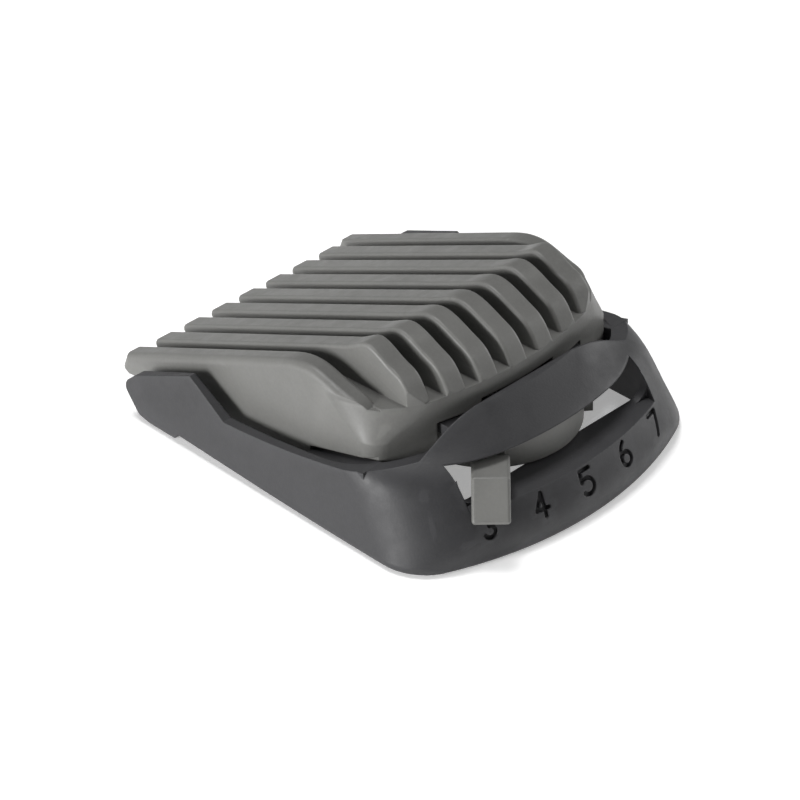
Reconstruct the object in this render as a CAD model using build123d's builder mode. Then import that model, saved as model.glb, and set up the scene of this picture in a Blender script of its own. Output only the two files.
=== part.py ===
"""Adjustable guard comb for a hair and beard trimmer, 3 mm to 7 mm.

Millimetres, +Z up, +Y towards the tips of the teeth, X across the comb.
The origin is on the table, under the middle of the whole guard.
The thumb lever stands at its first number, 3, with the comb all the way down.
"""
import math
import os

from build123d import *

os.makedirs("parts", exist_ok=True)

# Comb
tooth_count = 9
tooth_pitch = 4.5
tooth_width = 2.77
tooth_round = 0.4
wall_round = 1.0
tip_y = 28.4
tip_z = 4.85
tip_height = 1.7
tip_bevel = 0.7
wall_tip_reach = 1.4
top_slope = 0.436
crown_y = -8.4
crown_height = 21.4
crown_ahead = 2.8
crown_behind = 1.9
shoulder = 3.8
comb_rear_y = -18.56
comb_bow_radius = 45.5
wall_crown_y = -4.4
wall_crown_height = 18.0
wall_crown_ahead = 5.0
wall_crown_behind = 4.6
wall_crown_fall = 1.15
wall_rear_y = -12.4
wall_rear_height = 15.6
deck_top = 16.1
deck_bottom = 13.9
deck_fall = 0.9
deck_front_y = -2.5
skirt_thickness = 1.6
skirt_foot = 9.4
skirt_window_gap = 0.5
window_depth = 5.0
wall_foot = 3.3
wall_foot_front_y = 20.4
pocket_depth = 0.9
pocket_front_y = -4.0
pocket_rear_y = -15.6
pocket_front_top = 7.4
pocket_rear_top = 10.8

# Frame
rear_y = -30.0
rear_bow_radius = 46.0
side_lean = 0.115
lip_radius = 0.9
arm_wall = 2.0
arm_gap = 1.86
console_wall = 1.8
horn_front_y = 25.4
horn_rear_y = 13.6
horn_front_top = 5.9
horn_rounding = 1.2
horn_bevel = 2.3
nose_toe = 3.0
foot_front_y = 19.0
foot_rear_y = 16.5
foot_height = 1.3
rear_foot_y = -24.0
rim_foot = (7.5, 6.6)
rim_middle = (-8.0, 8.65)
rim_rear = (-21.0, 11.85)
hump_top = 14.5
hump_half_width = 14.4
hump_fall_width = 3.4
hump_foot = 11.2
nose_hook = 1.3
hook_low_z = 0.2
hook_front_top = 1.0
hook_rear_top = 1.6
number_tall = 3.3
number_stroke = 0.55
number_depth = 0.45
number_middle_z = 4.8
number_pitch = 6.87
well_bow_radius = 134.0
well_corner_radius = 10.0

# Slot for the lever, in the console
slot_floor = 6.5
slot_ceiling = 11.0
slot_half_width = 15.2
slot_corner = 2.0
slot_window_depth = 1.0
shelf_depth = 4.9
shelf_thickness = 1.5

# Bridge over the dial
bridge_thickness = 1.4
bridge_half_width = 11.2
bridge_overhang = 2.2
bridge_corner = 4.0

# Dial and lever
axis_y = -13.7
dial_radius = 10.9
dial_rim = 1.4
dial_web = 1.6
dial_depth = 4.1
stop_angle = -38.0
stop_width = 2.4
stop_reach = 1.0
lever_angle = 45.0
lever_height = 1.9
lever_floor_gap = 0.9
lever_reach = 16.4
tab_width = 4.4
tab_wall = 0.6
tab_thickness = 1.0
tab_reach = 20.7
tab_slope_run = 3.6
tab_drop = 3.7
tab_start = 12.4
tab_round = 0.4
notch_radius = 0.9
notch_depth = 0.45

# Lift
first_setting = 3
setting_count = 5
step_lift = 1.0
hub_radius = 4.5
hub_end = 0.4
post_radius = 3.1
pin_radius = 0.6
pin_length = 7.8
pin_low_z = 8.0
post_tip = 0.7

# Small metal and washer
ring_thickness = 0.5
ring_width = 1.3
ring_bite = 0.5
ring_mouth_angle = 70.0
washer_thickness = 0.2
washer_width = 0.9
leaf_thickness = 0.3
leaf_height = 2.6
leaf_bump_half_width = 0.6
leaf_bump_run = 1.8
leaf_hook = 0.9
lug_x = 8.2
lug_width = 2.0
lug_depth = 1.7

# Clearances
running_gap = 0.1
slide_gap = 0.25
comb_gap = 0.7
stand_off = 0.3
press_gap = 0.02

# Worked out from the sizes above
side_tooth_x = (tooth_count - 1) / 2 * tooth_pitch
comb_half_width = side_tooth_x + tooth_width / 2
inner_wall_x = side_tooth_x - tooth_width / 2
arm_inner_x = comb_half_width + arm_gap
frame_half_width = arm_inner_x + arm_wall
well_rear_y = comb_rear_y - comb_gap
setting_angle = 2 * lever_angle / (setting_count - 1)
lift_travel = (setting_count - 1) * step_lift
dial_bottom = slot_floor + stand_off
dial_top = dial_bottom + dial_depth
bridge_bottom = dial_top + stand_off
bridge_top = bridge_bottom + bridge_thickness
ring_bottom = bridge_top + running_gap
ring_radius = hub_radius - ring_bite + ring_width
washer_radius = hub_radius + washer_width
bridge_front_y = axis_y + dial_radius + bridge_overhang
hub_top = ring_bottom + ring_thickness + hub_end
hollow_top = slot_floor - shelf_thickness
leaf_y = bridge_front_y - lug_depth / 2
leaf_half_length = lug_x + lug_width / 2
tall = 60.0
overcut = 0.6


# ---------------------------------------------------------------- shared curves

# Height, how far the rear leans forward there, and the radius of the rear corners there.
console_curve = [
    (0.0, 0.0, 5.0),
    (1.6, 0.02, 8.0),
    (3.3, 0.15, 10.5),
    (6.5, 1.75, 11.7),
    (9.0, 3.3, 12.5),
    (11.0, 4.8, 16.5),
    (13.0, 7.6, 18.0),
    (15.0, 12.4, 18.0),
]
# Height and corner radius of the comb's rear corners.
comb_corner_curve = [(0.0, 2.5), (12.0, 3.0), (14.0, 7.2), (16.0, 10.5), (23.0, 12.0)]


def between(curve, z, column):
    """Value of this column of a curve at height z."""
    for low, high in zip(curve, curve[1:]):
        if z <= high[0]:
            share = (z - low[0]) / (high[0] - low[0])
            return low[column] + share * (high[column] - low[column])
    return curve[-1][column]


def bow(x, radius):
    """How far an arc of this radius, centred on X = 0, has come forward at x."""
    return radius - math.sqrt(radius * radius - x * x)


def top_line(y):
    """Height of the straight line along the tops of the teeth."""
    return tip_z + top_slope * (tip_y - y)


def rear_edge(x, half, rear, radius, corner):
    """How far back a bowed outline with round rear corners reaches at x."""
    corner_x = half - corner
    corner_y = rear + radius - math.sqrt((radius - corner) ** 2 - corner_x ** 2)
    if abs(x) <= corner_x * radius / (radius - corner):
        return rear + bow(x, radius)
    return corner_y - math.sqrt(corner ** 2 - (abs(x) - corner_x) ** 2)


def bowed_outline(half, rear, radius, corner, front):
    """Closed outline with straight sides, a bowed rear and round rear corners."""
    side_rear = rear + bow(half, radius)
    with BuildSketch(mode=Mode.PRIVATE) as outline:
        with BuildLine():
            Polyline((-half, side_rear), (-half, front), (half, front), (half, side_rear))
            RadiusArc((half, side_rear), (-half, side_rear), radius)
        make_face()
        fillet(outline.vertices().group_by(Axis.Y)[0], corner)
    return outline.sketch


# ---------------------------------------------------------------- comb

def tooth_profile(x):
    """Side view of an inner tooth whose rear end follows the bow of the skirt at x."""
    shift = bow(x, comb_bow_radius)
    crown_start = crown_y + crown_ahead
    with BuildLine() as line:
        Line((tip_y, tip_z), (crown_start, top_line(crown_start)))
        Spline(
            (crown_start, top_line(crown_start)),
            (crown_y - crown_behind + shift / 2, crown_height),
            (comb_rear_y + shoulder + shift, deck_top + shoulder),
            (comb_rear_y + shift, deck_top),
            tangents=((-1, top_slope), (-0.45, -1)),
        )
        Polyline(
            (comb_rear_y + shift, deck_top),
            (comb_rear_y + shift, deck_bottom),
            (deck_front_y, deck_bottom),
            (tip_y - tip_bevel, tip_z - tip_height),
            (tip_y, tip_z - tip_bevel),
            (tip_y, tip_z),
        )
    return line.line


def wall_profile():
    """Side view of the comb's side wall, whose crown is lower than that of the teeth."""
    tip = tip_y + wall_tip_reach
    top_end = tip - tip_bevel
    crown_start = wall_crown_y + wall_crown_ahead
    with BuildLine() as line:
        Line((top_end, top_line(top_end)), (crown_start, top_line(crown_start)))
        Spline(
            (crown_start, top_line(crown_start)),
            (wall_crown_y, wall_crown_height),
            (wall_crown_y - wall_crown_behind, wall_crown_height - wall_crown_fall),
            (wall_rear_y, wall_rear_height),
            tangents=((-1, top_slope), (-1, -0.8)),
        )
        Polyline(
            (wall_rear_y, wall_rear_height),
            (comb_rear_y, wall_rear_height),
            (comb_rear_y, skirt_foot),
            (pocket_rear_y - pocket_depth, skirt_foot),
            (pocket_rear_y - pocket_depth, wall_foot),
            (wall_foot_front_y, wall_foot),
            (tip - 2 * tip_bevel, top_line(top_end) - tip_height - tip_bevel),
            (tip, top_line(top_end) - tip_height),
            (top_end, top_line(top_end)),
        )
    return line.line


def round_tooth(x, profile, left_round, right_round):
    """One tooth of this side view, standing at x, with its two long top edges rounded."""
    with BuildPart(mode=Mode.PRIVATE) as tooth:
        with BuildSketch(Plane.YZ.offset(x - tooth_width / 2)):
            make_face(profile)
        extrude(amount=tooth_width)
        for rounding, side in ((left_round, 0), (right_round, -1)):
            tops = tooth.faces().filter_by(lambda face: face.normal_at().Z > 0.2)
            tops = tops.filter_by(lambda face: face.center().Y > wall_rear_y and face.area > tooth_width)
            edges = tops.edges().filter_by(Axis.X, reverse=True).group_by(Axis.X)[side]
            fillet(edges, rounding)
    return tooth.part


with BuildPart() as comb:
    # Seven inner teeth and two side walls.
    for number in range(1, tooth_count - 1):
        tooth_x = number * tooth_pitch - side_tooth_x
        add(round_tooth(tooth_x, tooth_profile(tooth_x), tooth_round, tooth_round))
    add(round_tooth(-side_tooth_x, wall_profile(), wall_round, tooth_round))
    add(round_tooth(side_tooth_x, wall_profile(), tooth_round, wall_round))
    # Deck that joins the roots of the teeth.
    with BuildSketch(Plane.YZ):
        with BuildLine():
            Polyline(
                (comb_rear_y - 1, deck_bottom),
                (deck_front_y, deck_bottom),
                (deck_front_y, deck_top - deck_fall),
                (comb_rear_y, deck_top),
                (comb_rear_y - 1, deck_top),
                close=True,
            )
        make_face()
    extrude(amount=inner_wall_x + 0.5, both=True)
    # Skirt across the rear, with a window over the bridge so that only its corners hang low.
    with BuildSketch(Plane.XY.offset(skirt_foot)):
        Rectangle(2 * comb_half_width, -2 * comb_rear_y)
        add(
            bowed_outline(
                inner_wall_x,
                comb_rear_y + skirt_thickness,
                comb_bow_radius,
                between(comb_corner_curve, skirt_foot, 1),
                tall,
            ),
            mode=Mode.SUBTRACT,
        )
        with Locations((0, comb_rear_y / 2)):
            Rectangle(2 * comb_half_width, -comb_rear_y, mode=Mode.INTERSECT)
    extrude(amount=wall_rear_height - skirt_foot)
    with BuildSketch(Plane.XY.offset(skirt_foot)):
        with Locations((0, comb_rear_y)):
            Rectangle(2 * (bridge_half_width + skirt_window_gap), 2 * window_depth)
    extrude(amount=bridge_top + stand_off - skirt_foot, mode=Mode.SUBTRACT)
    with BuildSketch(Plane.XY.offset(skirt_foot)):
        with Locations((0, comb_rear_y)):
            Rectangle(2 * (ring_radius + skirt_window_gap), 2 * window_depth)
    extrude(amount=deck_bottom - skirt_foot, mode=Mode.SUBTRACT)
    # The bow and the round corners trim everything that stands behind them.
    with BuildPart(mode=Mode.PRIVATE) as comb_envelope:
        for height, corner in comb_corner_curve:
            with BuildSketch(Plane.XY.offset(height)):
                add(bowed_outline(comb_half_width, comb_rear_y, comb_bow_radius, corner, tall))
        loft(ruled=True)
    add(comb_envelope.part, mode=Mode.INTERSECT)
    # Pockets that run on the guide pads of the frame.
    for side in (-1, 1):
        with BuildSketch(Plane.YZ.offset(side * comb_half_width)):
            with BuildLine():
                Polyline(
                    (pocket_front_y, 0),
                    (pocket_front_y, pocket_front_top),
                    (pocket_rear_y, pocket_rear_top),
                    (pocket_rear_y, 0),
                    close=True,
                )
            make_face()
        extrude(amount=-side * pocket_depth, mode=Mode.SUBTRACT)
    # Lift post under the deck, cross drilled for its pin.
    with BuildSketch(Plane((0, axis_y, pin_low_z - pin_radius - post_tip))):
        Circle(post_radius)
    extrude(amount=deck_bottom + 0.5 - (pin_low_z - pin_radius - post_tip))
    with BuildSketch(Plane((0, axis_y, pin_low_z), x_dir=(0, 1, 0), z_dir=(1, 0, 0))):
        Circle(pin_radius)
    extrude(amount=post_radius + 1, both=True, mode=Mode.SUBTRACT)

comb.part.label = "comb"
export_step(comb.part, "parts/comb.step")


# ---------------------------------------------------------------- frame

def arm_profile():
    """Side view of the frame: low rim, front horn, nose and the bottom edge."""
    with BuildLine() as line:
        Polyline(
            (rear_y - 1, 0),
            (rear_foot_y, 0),
            (foot_rear_y - foot_height, foot_height),
            (foot_rear_y, 0),
            (foot_front_y, 0),
            (horn_front_y - nose_toe, nose_toe / 3),
            (horn_front_y, nose_toe / 3 + nose_toe),
            (horn_front_y - horn_bevel, horn_front_top),
            (horn_rear_y, horn_front_top + top_slope * (horn_front_y - horn_bevel - horn_rear_y)),
            rim_foot,
        )
        ThreePointArc(rim_foot, rim_middle, rim_rear)
        Polyline(rim_rear, (rear_y - 1, rim_rear[1]), (rear_y - 1, 0))
    return line.line


def hump_profile():
    """Rear view of the console's top: flat in the middle, falling in an S to the rims."""
    outer = frame_half_width + 1
    fall = hump_half_width + hump_fall_width
    with BuildLine() as line:
        Polyline((-fall, hump_foot), (-outer, hump_foot), (-outer, 0))
        Polyline((-outer, 0), (outer, 0), (outer, hump_foot), (fall, hump_foot))
        Spline((fall, hump_foot), (hump_half_width, hump_top), tangents=((-1, 0), (-1, 0)))
        Line((hump_half_width, hump_top), (-hump_half_width, hump_top))
        Spline((-hump_half_width, hump_top), (-fall, hump_foot), tangents=((-1, 0), (-1, 0)))
    return line.line


def console_point(x, z):
    """Point on the console face at x, at height z."""
    half = frame_half_width - side_lean * z
    rear = rear_y + between(console_curve, z, 1)
    corner = between(console_curve, z, 2)
    return Vector(x, rear_edge(x, half, rear, rear_bow_radius, corner), z)


def number_plane(x):
    """Plane on the console face at x, upright along the face, for a number."""
    middle = console_point(x, number_middle_z)
    up = console_point(x, number_middle_z + number_tall / 2) - middle
    across = console_point(x + 0.5, number_middle_z) - console_point(x - 0.5, number_middle_z)
    return Plane(middle, x_dir=across, z_dir=across.cross(up))


def draw_digit(digit):
    """Centre lines of one digit, 3 to 7, about its middle."""
    top = (number_tall - number_stroke) / 2
    side = 0.6 * top
    bowl = 0.5 * top
    if digit == 3:
        CenterArc((0, bowl), bowl, 150, -240)
        CenterArc((0, -bowl), bowl, 90, -240)
    if digit == 4:
        Polyline((0.3 * side, -top), (0.3 * side, top), (-side, -0.35 * top), (side, -0.35 * top))
    if digit == 5:
        Polyline((side, top), (-0.8 * side, top), (-side, 0.05 * top))
        ThreePointArc((-side, 0.05 * top), (side, -0.35 * top), (-side, -0.85 * top))
    if digit == 6:
        CenterArc((0, -0.42 * top), 0.58 * top, 0, 180)
        CenterArc((0, -0.42 * top), 0.58 * top, 180, 180)
        ThreePointArc((-0.58 * top, -0.42 * top), (-0.35 * top, 0.45 * top), (0.4 * side, top))
    if digit == 7:
        Polyline((-side, top), (side, top), (-0.3 * side, -top))


def arm_block(side, low_y, high_y, low_z, front_top, rear_top, reach):
    """A rib on the inner face of an arm, with a top that may slope along Y."""
    with BuildPart(mode=Mode.PRIVATE) as block:
        with BuildSketch(Plane.YZ.offset(side * (arm_inner_x + 0.5))):
            with BuildLine():
                Polyline((high_y, low_z), (high_y, front_top), (low_y, rear_top), (low_y, low_z), close=True)
            make_face()
        extrude(amount=-side * (reach + 0.5))
    return block.part


shelf_edge_y = rear_y + between(console_curve, slot_floor, 1) + shelf_depth

with BuildPart() as frame:
    # Outer skin: bowed sections that lean forward as they rise.
    for height, lean, corner in console_curve:
        half = frame_half_width - side_lean * height
        with BuildSketch(Plane.XY.offset(height)):
            add(bowed_outline(half, rear_y + lean, rear_bow_radius, corner, horn_front_y + 5))
    loft()
    fillet(frame.faces().sort_by(Axis.Z)[0].edges(), lip_radius)
    # Side view of the arms, with the hump of the console standing above it.
    with BuildPart(mode=Mode.PRIVATE) as envelope:
        with BuildSketch(Plane.YZ) as arms:
            make_face(arm_profile())
            nose = arms.vertices().filter_by_position(Axis.X, horn_front_y - nose_toe, horn_front_y)
            fillet(nose, horn_rounding)
        extrude(amount=frame_half_width + 1, both=True)
        with BuildSketch(Plane.XZ.offset(-well_rear_y)):
            make_face(hump_profile())
        extrude(amount=20)
    add(envelope.part, mode=Mode.INTERSECT)
    # Well for the comb and the trimmer's head, open at the front and below.
    with BuildSketch(Plane.XY.offset(-1)):
        add(bowed_outline(arm_inner_x, well_rear_y, well_bow_radius, well_corner_radius, tall))
    extrude(amount=tall, mode=Mode.SUBTRACT)
    # The console is a shell below its shelf, and open in front of the shelf's edge.
    with BuildSketch(Plane.XY.offset(-1)):
        add(
            bowed_outline(
                frame_half_width - side_lean * hollow_top - console_wall,
                rear_y + between(console_curve, hollow_top, 1) + console_wall,
                rear_bow_radius - console_wall,
                between(console_curve, hollow_top, 2) - console_wall,
                0,
            )
        )
    extrude(amount=hollow_top + 1, mode=Mode.SUBTRACT)
    with BuildSketch(Plane.XY.offset(-1)):
        with Locations((0, shelf_edge_y)):
            Rectangle(2 * slot_half_width, 8, align=(Align.CENTER, Align.MIN))
    extrude(amount=slot_ceiling + 1, mode=Mode.SUBTRACT)
    # Slot for the lever: square below at the face, a round-cornered window inside.
    with BuildSketch(Plane.XZ.offset(-shelf_edge_y + slot_window_depth)) as slot:
        with Locations((0, slot_floor)):
            Rectangle(2 * slot_half_width, slot_ceiling - slot_floor, align=(Align.CENTER, Align.MIN))
        fillet(slot.vertices().group_by(Axis.Y)[-1], slot_corner)
    extrude(amount=10, mode=Mode.SUBTRACT)
    with BuildSketch(Plane.XZ.offset(-well_rear_y - 1)) as window:
        with Locations((0, slot_floor)):
            Rectangle(2 * slot_half_width, slot_ceiling - slot_floor, align=(Align.CENTER, Align.MIN))
        fillet(window.vertices(), slot_corner)
    extrude(amount=10, mode=Mode.SUBTRACT)
    # Bridge over the dial, grown from the front of the hump.
    with BuildSketch(Plane.XY.offset(bridge_bottom)) as bridge:
        with BuildLine():
            Polyline(
                (-bridge_half_width, well_rear_y - 1),
                (-bridge_half_width, bridge_front_y),
                (bridge_half_width, bridge_front_y),
                (bridge_half_width, well_rear_y - 1),
                close=True,
            )
        make_face()
        fillet(bridge.vertices().group_by(Axis.Y)[-1], bridge_corner)
        with Locations((0, axis_y)):
            Circle(hub_radius + running_gap, mode=Mode.SUBTRACT)
    extrude(amount=bridge_thickness)
    # Guide pads for the comb's pockets, and hooks for the trimmer's head.
    for side in (-1, 1):
        add(
            arm_block(
                side,
                pocket_rear_y + slide_gap,
                pocket_front_y - slide_gap,
                wall_foot + 2 * slide_gap,
                pocket_front_top - 2 * slide_gap,
                pocket_rear_top - 2 * slide_gap,
                arm_gap + pocket_depth - slide_gap,
            )
        )
        add(arm_block(side, foot_rear_y, foot_front_y, hook_low_z, hook_front_top, hook_rear_top, nose_hook))
    # Two lugs under the bridge for the click spring.
    with BuildSketch(Plane.XY.offset(bridge_bottom)):
        with Locations((-lug_x, bridge_front_y), (lug_x, bridge_front_y)):
            Rectangle(lug_width, lug_depth, align=(Align.CENTER, Align.MAX))
    extrude(amount=-leaf_height - leaf_thickness)
    with BuildSketch(Plane.XY.offset(bridge_bottom)):
        with Locations((0, leaf_y)):
            Rectangle(2 * leaf_half_length, leaf_thickness + 2 * press_gap)
    extrude(amount=-leaf_height - leaf_thickness, mode=Mode.SUBTRACT)

    # Numbers engraved in the console face.
    for index in range(setting_count):
        number_x = (index - (setting_count - 1) / 2) * number_pitch
        with BuildSketch(number_plane(number_x).offset(overcut)):
            with BuildLine(mode=Mode.PRIVATE) as strokes:
                draw_digit(first_setting + index)
            for stroke in strokes.edges():
                trace(stroke, line_width=number_stroke)
            with Locations(*strokes.vertices()):
                Circle(number_stroke / 2)
        extrude(amount=-overcut - number_depth, mode=Mode.SUBTRACT)

frame.part.label = "frame"
export_step(frame.part, "parts/frame.step")


# ---------------------------------------------------------------- dial

def axis_level(z):
    """Horizontal plane at this height, centred on the dial's axis."""
    return Plane((0, axis_y, z))


def radial_plane(angle):
    """Upright plane through the axis: x runs outwards at this angle from the rear, y runs up."""
    outward = Vector(math.sin(math.radians(angle)), -math.cos(math.radians(angle)), 0)
    return Plane((0, axis_y, 0), x_dir=outward, z_dir=outward.cross(Vector(0, 0, 1)))


def at_angle(radius, angle):
    """Point at this radius from the axis, in degrees from +X."""
    return (radius * math.cos(math.radians(angle)), radius * math.sin(math.radians(angle)))


def lift_track():
    """Curved slot through the hub wall that raises the lift pin as the dial turns."""
    lead = lift_travel * 360 / (2 * lever_angle)
    track_radius = (post_radius + hub_radius) / 2
    width = 2 * (pin_radius + running_gap)
    with BuildPart(mode=Mode.PRIVATE) as track:
        with BuildLine():
            path = Helix(lead, lift_travel, track_radius, center=(0, 0, 0), lefthand=True)
        with BuildSketch(Plane(path @ 0, z_dir=path % 0, x_dir=(1, 0, 0))):
            Rectangle(hub_radius - post_radius + 2 * overcut, width)
        sweep(is_frenet=True)
        for end in (0, 1):
            point = path @ end
            outward = Vector(point.X, point.Y, 0).normalized()
            with BuildSketch(Plane((0, 0, point.Z) + outward * (post_radius - overcut), z_dir=outward)):
                Circle(width / 2)
            extrude(amount=hub_radius - post_radius + 2 * overcut)
    return track.part


with BuildPart() as dial:
    # Cup that opens downwards, with its hub.
    with BuildSketch(axis_level(dial_bottom)):
        Circle(dial_radius)
    extrude(amount=dial_depth)
    with BuildSketch(axis_level(dial_bottom)):
        Circle(dial_radius - dial_rim)
        Circle(hub_radius, mode=Mode.SUBTRACT)
    extrude(amount=dial_depth - dial_web, mode=Mode.SUBTRACT)
    with BuildSketch(axis_level(dial_bottom)):
        Circle(hub_radius)
    extrude(amount=hub_top - dial_bottom)
    # Lever arm and end stop.
    with BuildSketch(radial_plane(-lever_angle)):
        with Locations((dial_radius - dial_rim / 2, slot_floor + lever_floor_gap)):
            Rectangle(
                lever_reach - dial_radius + dial_rim / 2,
                lever_height,
                align=(Align.MIN, Align.MIN),
            )
    extrude(amount=tab_width / 2 - tab_wall, both=True)
    with BuildSketch(Plane((0, axis_y, dial_bottom)).rotated((0, 0, stop_angle))):
        with Locations((dial_radius + stop_reach, 0)):
            Rectangle(dial_rim + stop_reach, stop_width, align=(Align.MAX, Align.CENTER))
    extrude(amount=dial_depth - dial_web)
    # Bore for the post, and the two lift tracks.
    with BuildSketch(axis_level(dial_bottom)):
        Circle(post_radius + running_gap)
    extrude(amount=tall, mode=Mode.SUBTRACT)
    for turn in (0, 180):
        track_place = Location((0, axis_y, pin_low_z), (0, 0, turn))
        add(lift_track().moved(track_place), mode=Mode.SUBTRACT)
    # Click notches, one for each setting, that pass the spring at the front.
    with BuildSketch(axis_level(dial_bottom)):
        for index in range(setting_count):
            with Locations(at_angle(dial_radius + notch_radius - notch_depth, 90 - index * setting_angle)):
                Circle(notch_radius)
    extrude(amount=dial_depth, mode=Mode.SUBTRACT)
    # Groove for the retaining ring.
    with BuildSketch(axis_level(ring_bottom)):
        Circle(hub_radius + 1)
        Circle(hub_radius - ring_bite, mode=Mode.SUBTRACT)
    extrude(amount=ring_thickness, mode=Mode.SUBTRACT)

dial.part.label = "dial"
export_step(dial.part, "parts/dial.step")

with BuildPart() as thumb_tab:
    # Cap over the end of the lever, bent down over the numbers.
    top = slot_floor + lever_floor_gap + lever_height + tab_wall
    bottom = slot_floor + lever_floor_gap - tab_wall
    slope_start = tab_reach - tab_slope_run
    face = Vector(tab_slope_run, -tab_drop).normalized()
    back = Vector(face.Y, -face.X) * tab_thickness
    inner_top = Vector(slope_start, top) + back
    inner_low = Vector(tab_reach, top - tab_drop) + back
    inner_share = (inner_top.Y - bottom) / (inner_top.Y - inner_low.Y)
    inner_knee = inner_top + (inner_low - inner_top) * inner_share
    with BuildSketch(radial_plane(-lever_angle)):
        with BuildLine():
            Polyline(
                (tab_start, top),
                (slope_start, top),
                (tab_reach, top - tab_drop),
                (inner_low.X, inner_low.Y),
                (inner_knee.X, inner_knee.Y),
                (tab_start, bottom),
                close=True,
            )
        make_face()
    extrude(amount=tab_width / 2, both=True)
    fillet(thumb_tab.edges(), tab_round)
    with BuildSketch(radial_plane(-lever_angle)):
        with Locations((tab_start - 1, slot_floor + lever_floor_gap - press_gap)):
            Rectangle(
                lever_reach + press_gap - tab_start + 1,
                lever_height + 2 * press_gap,
                align=(Align.MIN, Align.MIN),
            )
    extrude(amount=tab_width / 2 - tab_wall + press_gap, both=True, mode=Mode.SUBTRACT)

thumb_tab.part.label = "thumb_tab"
export_step(thumb_tab.part, "parts/thumb_tab.step")


# ---------------------------------------------------------------- small parts

with BuildPart() as retaining_ring:
    with BuildSketch(axis_level(ring_bottom)):
        Circle(ring_radius)
        Circle(hub_radius - ring_bite, mode=Mode.SUBTRACT)
        with BuildLine():
            Polyline(
                (0, 0),
                at_angle(2 * hub_radius, -90 - ring_mouth_angle / 2),
                at_angle(2 * hub_radius, -90 + ring_mouth_angle / 2),
                close=True,
            )
        make_face(mode=Mode.SUBTRACT)
    extrude(amount=ring_thickness)

retaining_ring.part.label = "retaining_ring"
export_step(retaining_ring.part, "parts/retaining_ring.step")

with BuildPart() as dial_washer:
    with BuildSketch(axis_level(dial_top)):
        Circle(washer_radius)
        Circle(hub_radius + press_gap, mode=Mode.SUBTRACT)
    extrude(amount=washer_thickness)

dial_washer.part.label = "dial_washer"
export_step(dial_washer.part, "parts/dial_washer.step")

with BuildPart() as lift_pin:
    with BuildSketch(Plane((0, axis_y, pin_low_z), x_dir=(0, 1, 0), z_dir=(1, 0, 0))):
        Circle(pin_radius)
    extrude(amount=pin_length / 2, both=True)

lift_pin.part.label = "lift_pin"
export_step(lift_pin.part, "parts/lift_pin.step")

with BuildPart() as click_spring:
    # Leaf spring whose bump rides on the dial's rim, drawn as it stands between two clicks.
    bump_y = axis_y + dial_radius + running_gap
    near = leaf_y - leaf_thickness / 2
    far = leaf_y + leaf_thickness / 2
    hook = leaf_half_length + press_gap
    half_bump = leaf_bump_half_width
    half_outline = [
        (half_bump, bump_y),
        (half_bump + leaf_bump_run, near),
        (hook, near),
        (hook, near - leaf_hook),
        (hook + leaf_thickness, near - leaf_hook),
        (hook + leaf_thickness, far),
        (half_bump + leaf_bump_run, far),
        (half_bump, bump_y + leaf_thickness),
    ]
    with BuildSketch(Plane.XY.offset(bridge_bottom - press_gap - leaf_height)):
        with BuildLine():
            Polyline(half_outline + [(-x, y) for x, y in reversed(half_outline)], close=True)
        make_face()
    extrude(amount=leaf_height)

click_spring.part.label = "click_spring"
export_step(click_spring.part, "parts/click_spring.step")
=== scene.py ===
"""Looks for the adjustable guard comb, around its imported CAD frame.

Metres, in the CAD's own frame: +Z up, +Y towards the tips of the teeth, the numbered console at -Y.
Every piece is a CAD node that keeps its shape; this script gives it its finish.
"""
import math

import bpy
from mathutils import Matrix, Vector


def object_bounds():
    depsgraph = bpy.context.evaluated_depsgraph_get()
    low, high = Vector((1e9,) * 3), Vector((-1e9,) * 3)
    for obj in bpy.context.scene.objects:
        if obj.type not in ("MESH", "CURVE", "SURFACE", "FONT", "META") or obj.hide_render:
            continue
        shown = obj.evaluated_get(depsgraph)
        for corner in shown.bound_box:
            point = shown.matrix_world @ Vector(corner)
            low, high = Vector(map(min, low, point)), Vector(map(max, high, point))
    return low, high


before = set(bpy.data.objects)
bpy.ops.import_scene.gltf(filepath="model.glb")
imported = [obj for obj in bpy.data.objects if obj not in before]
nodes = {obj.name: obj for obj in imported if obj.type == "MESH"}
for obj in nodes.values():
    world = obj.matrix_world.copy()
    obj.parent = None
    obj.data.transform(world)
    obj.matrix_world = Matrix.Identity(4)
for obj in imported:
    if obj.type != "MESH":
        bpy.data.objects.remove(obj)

cad_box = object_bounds()
scene = bpy.context.scene

# Colours as linear light
comb_grey = (0.125, 0.125, 0.119)
frame_charcoal = (0.028, 0.028, 0.030)
steel_grey = (0.56, 0.56, 0.58)
washer_white = (0.78, 0.78, 0.75)
floor_white = (0.93, 0.93, 0.93)

# Light the floor gives by itself, as a lit table does
floor_glow = 0.35

# Moulded plastic: how many noise features to a metre, and how far each changes the colour
cloud_density = 90
cloud_dark = 0.93
cloud_light = 1.06
speckle_density = 2600
speckle_light = 1.25
speckle_share = 0.35
# Painted highlight: how much lighter the convex edges are coloured
edge_highlight_lightness = 1.8
scuff_density = 420
scuff_smoother = 0.07
scuff_rougher = 0.08
grain_density = 3800
grain_depth = 0.00003
cloud_depth = 0.00008
plastic_specular = 0.42

# Radius at which the shading rounds the edges of the plastic
edge_round = 0.00022
edge_samples = 6

# Drawn steel
line_density = 900
line_stretch = 12.0
mark_density = 700
mark_dark = 0.78
line_depth = 0.00001

# Washer
mottle_density = 800
mottle_dark = 0.92
mottle_depth = 0.00001
washer_scatter = 0.001

# Floor
floor_size = 6.0
paper_density = 300
paper_dark = 0.985

# Camera
view_azimuth = math.radians(-43.26)
view_elevation = math.radians(34.55)
view_roll = math.radians(-1.715)
view_distance = 0.41
view_aim = Vector((0.00129, 0.00278, 0.00014))
view_lens = 153.63
sensor_width = 36.0


# ---------------------------------------------------------------- materials

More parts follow.
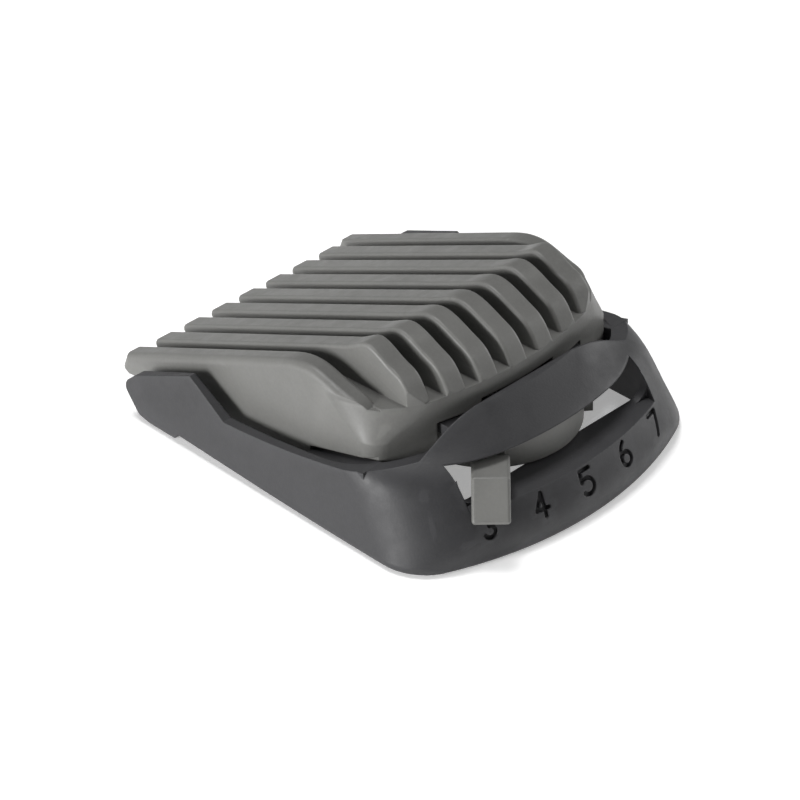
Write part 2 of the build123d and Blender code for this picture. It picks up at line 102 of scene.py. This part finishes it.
def new_material(name):
    """An empty node material and its tree, with a Principled shader on the output."""
    material = bpy.data.materials.new(name)
    material.use_nodes = True
    tree = material.node_tree
    shader = tree.nodes["Principled BSDF"]
    return material, tree, shader


def object_space(tree):
    """Coordinates fixed to the piece, in metres."""
    return tree.nodes.new("ShaderNodeTexCoord").outputs["Object"]


def noise(tree, vector, per_metre, detail, roughness=0.5):
    """A noise value whose features are about one over per_metre wide."""
    node = tree.nodes.new("ShaderNodeTexNoise")
    node.inputs["Scale"].default_value = per_metre
    node.inputs["Detail"].default_value = detail
    node.inputs["Roughness"].default_value = roughness
    tree.links.new(vector, node.inputs["Vector"])
    return node.outputs["Fac"]


def remap(tree, value, low, high, to_low, to_high):
    """value moved from low..high to to_low..to_high and held inside it."""
    node = tree.nodes.new("ShaderNodeMapRange")
    node.inputs["From Min"].default_value = low
    node.inputs["From Max"].default_value = high
    node.inputs["To Min"].default_value = to_low
    node.inputs["To Max"].default_value = to_high
    tree.links.new(value, node.inputs["Value"])
    return node.outputs["Result"]


def mix_colour(tree, factor, first, second):
    """first where factor is 0, second where it is 1; each is a colour or a socket."""
    node = tree.nodes.new("ShaderNodeMix")
    node.data_type = "RGBA"
    tree.links.new(factor, node.inputs["Factor"])
    for name, colour in (("A", first), ("B", second)):
        socket = next(s for s in node.inputs if s.name == name and s.type == "RGBA")
        if isinstance(colour, tuple):
            socket.default_value = (*colour, 1.0)
        else:
            tree.links.new(colour, socket)
    return next(s for s in node.outputs if s.type == "RGBA")


def shade(colour, amount):
    """The same colour, lighter or darker by this factor."""
    return tuple(channel * amount for channel in colour)


def bump(tree, height, strength, distance, under=None):
    """A normal raised by height, on top of another normal if one is given."""
    node = tree.nodes.new("ShaderNodeBump")
    node.inputs["Strength"].default_value = strength
    node.inputs["Distance"].default_value = distance
    tree.links.new(height, node.inputs["Height"])
    if under is not None:
        tree.links.new(under, node.inputs["Normal"])
    return node.outputs["Normal"]


def plastic_colour(tree, space, clouds, colour, edge_highlight_share):
    """Base colour with flow clouds and speckle, and a painted highlight that lightens the convex edges.
    """
    speckle = noise(tree, space, speckle_density, 2)
    cloudiness = remap(tree, clouds, 0.35, 0.65, 0, 1)
    clouded = mix_colour(tree, cloudiness, shade(colour, cloud_dark), shade(colour, cloud_light))
    speckling = remap(tree, speckle, 0.3, 0.7, 0, speckle_share)
    speckled = mix_colour(tree, speckling, clouded, shade(colour, speckle_light))
    edges = tree.nodes.new("ShaderNodeNewGeometry").outputs["Pointiness"]
    # Painted highlight: convex edges, found by pointiness, are coloured lighter as if they were
    # catching the light
    painted_edge_highlight = remap(tree, edges, 0.505, 0.56, 0, edge_highlight_share)
    return mix_colour(tree, painted_edge_highlight, speckled, shade(colour, edge_highlight_lightness))


def rounded_edges(tree):
    """A normal that turns smoothly round every sharp edge."""
    node = tree.nodes.new("ShaderNodeBevel")
    node.samples = edge_samples
    node.inputs["Radius"].default_value = edge_round
    return node.outputs["Normal"]


def moulded_plastic(name, colour, rough, grain, edge_highlight_share):
    """Satin moulded plastic: spark-eroded grain, faint flow clouds, a painted highlight on the convex
    edges and fine scuffs.
    """
    material, tree, shader = new_material(name)
    space = object_space(tree)
    clouds = noise(tree, space, cloud_density, 3)
    tree.links.new(plastic_colour(tree, space, clouds, colour, edge_highlight_share), shader.inputs["Base Color"])
    scuffs = noise(tree, space, scuff_density, 5, 0.7)
    scuffed = remap(tree, scuffs, 0.3, 0.7, rough - scuff_smoother, rough + scuff_rougher)
    tree.links.new(scuffed, shader.inputs["Roughness"])
    fine = bump(tree, noise(tree, space, grain_density, 2), grain, grain_depth, rounded_edges(tree))
    soft = bump(tree, clouds, 0.12, cloud_depth, fine)
    tree.links.new(soft, shader.inputs["Normal"])
    shader.inputs["Specular IOR Level"].default_value = plastic_specular
    return material


def drawn_steel(name):
    """Bright drawn steel with fine drawing lines and small rub marks."""
    material, tree, shader = new_material(name)
    space = object_space(tree)
    stretch = tree.nodes.new("ShaderNodeMapping")
    stretch.inputs["Scale"].default_value = (1.0, line_stretch, line_stretch)
    tree.links.new(space, stretch.inputs["Vector"])
    lines = noise(tree, stretch.outputs["Vector"], line_density, 4)
    marks = noise(tree, space, mark_density, 4, 0.65)
    marked = remap(tree, marks, 0.4, 0.7, 0, 1)
    tint = mix_colour(tree, marked, steel_grey, shade(steel_grey, mark_dark))
    tree.links.new(tint, shader.inputs["Base Color"])
    tree.links.new(remap(tree, lines, 0.3, 0.7, 0.22, 0.42), shader.inputs["Roughness"])
    tree.links.new(bump(tree, lines, 0.25, line_depth), shader.inputs["Normal"])
    shader.inputs["Metallic"].default_value = 1.0
    return material


def slippery_washer(name):
    """Milky, slightly waxy plastic sheet with a faint mottle."""
    material, tree, shader = new_material(name)
    space = object_space(tree)
    mottle = noise(tree, space, mottle_density, 3)
    mottled = remap(tree, mottle, 0.3, 0.7, 0, 1)
    tint = mix_colour(tree, mottled, shade(washer_white, mottle_dark), washer_white)
    tree.links.new(tint, shader.inputs["Base Color"])
    tree.links.new(remap(tree, mottle, 0.3, 0.7, 0.28, 0.4), shader.inputs["Roughness"])
    tree.links.new(bump(tree, mottle, 0.2, mottle_depth), shader.inputs["Normal"])
    shader.inputs["Subsurface Weight"].default_value = 0.15
    shader.inputs["Subsurface Radius"].default_value = (washer_scatter, washer_scatter, washer_scatter)
    return material


# ---------------------------------------------------------------- pieces

def finish_pieces(names, material):
    """Gives these CAD nodes their material."""
    for name in names:
        piece = nodes[name]
        piece.data.materials.clear()
        piece.data.materials.append(material)


# The last argument sets how strongly each plastic shows the painted edge highlight
comb_plastic = moulded_plastic("comb_plastic", comb_grey, rough=0.46, grain=0.30, edge_highlight_share=0.25)
frame_plastic = moulded_plastic("frame_plastic", frame_charcoal, rough=0.50, grain=0.40, edge_highlight_share=0.40)

finish_pieces(("comb", "dial", "thumb_tab"), comb_plastic)
finish_pieces(("frame",), frame_plastic)
finish_pieces(("retaining_ring", "lift_pin", "click_spring"), drawn_steel("steel"))
finish_pieces(("dial_washer",), slippery_washer("washer_plastic"))


# ---------------------------------------------------------------- stage

def floor():
    """Pale sheet of paper that the guard stands on."""
    bpy.ops.mesh.primitive_plane_add(size=floor_size, location=(0, 0, cad_box[0][2]))
    sheet = bpy.context.object
    sheet.name = "floor"
    material, tree, shader = new_material("floor_paper")
    paper = noise(tree, object_space(tree), paper_density, 2)
    tint = mix_colour(tree, paper, shade(floor_white, paper_dark), floor_white)
    tree.links.new(tint, shader.inputs["Base Color"])
    shader.inputs["Roughness"].default_value = 0.9
    tree.links.new(tint, shader.inputs["Emission Color"])
    shader.inputs["Emission Strength"].default_value = floor_glow
    sheet.data.materials.append(material)


def direction(azimuth, elevation):
    """Unit vector from the guard; azimuth is from -Y towards +X, both in radians."""
    level = math.cos(elevation)
    return Vector((math.sin(azimuth) * level, -math.cos(azimuth) * level, math.sin(elevation)))


def softbox(name, azimuth, elevation, distance, size, power):
    """Square area light that faces the guard from this direction, in degrees."""
    light = bpy.data.lights.new(name, "AREA")
    light.size = size
    light.energy = power
    lamp = bpy.data.objects.new(name, light)
    scene.collection.objects.link(lamp)
    outward = direction(math.radians(azimuth), math.radians(elevation))
    lamp.location = outward * distance
    lamp.rotation_euler = outward.to_track_quat("Z", "Y").to_euler()


def camera():
    """Camera at the photographed viewing angle."""
    data = bpy.data.cameras.new("camera")
    data.lens = view_lens
    data.sensor_width = sensor_width
    data.clip_start = 0.01
    eye = bpy.data.objects.new("camera", data)
    scene.collection.objects.link(eye)
    back = direction(view_azimuth, view_elevation)
    flat_right = Vector((math.cos(view_azimuth), math.sin(view_azimuth), 0))
    flat_up = back.cross(flat_right)
    right = flat_right * math.cos(view_roll) + flat_up * math.sin(view_roll)
    up = back.cross(right)
    turn = Matrix((right, up, back)).transposed().to_4x4()
    eye.matrix_world = Matrix.Translation(view_aim + back * view_distance) @ turn
    scene.camera = eye


def surroundings(strength):
    """Even white light from all round."""
    world = bpy.data.worlds.new("studio")
    world.use_nodes = True
    background = world.node_tree.nodes["Background"]
    background.inputs["Color"].default_value = (1, 1, 1, 1)
    background.inputs["Strength"].default_value = strength
    scene.world = world


floor()
surroundings(0.14)
softbox("key_left", azimuth=-98, elevation=11, distance=0.9, size=0.35, power=8.8)
softbox("overhead", azimuth=178, elevation=78, distance=1.1, size=0.4, power=7.0)
softbox("right", azimuth=70, elevation=20, distance=1.0, size=0.5, power=4.5)
camera()
scene.view_settings.view_transform = "Standard"
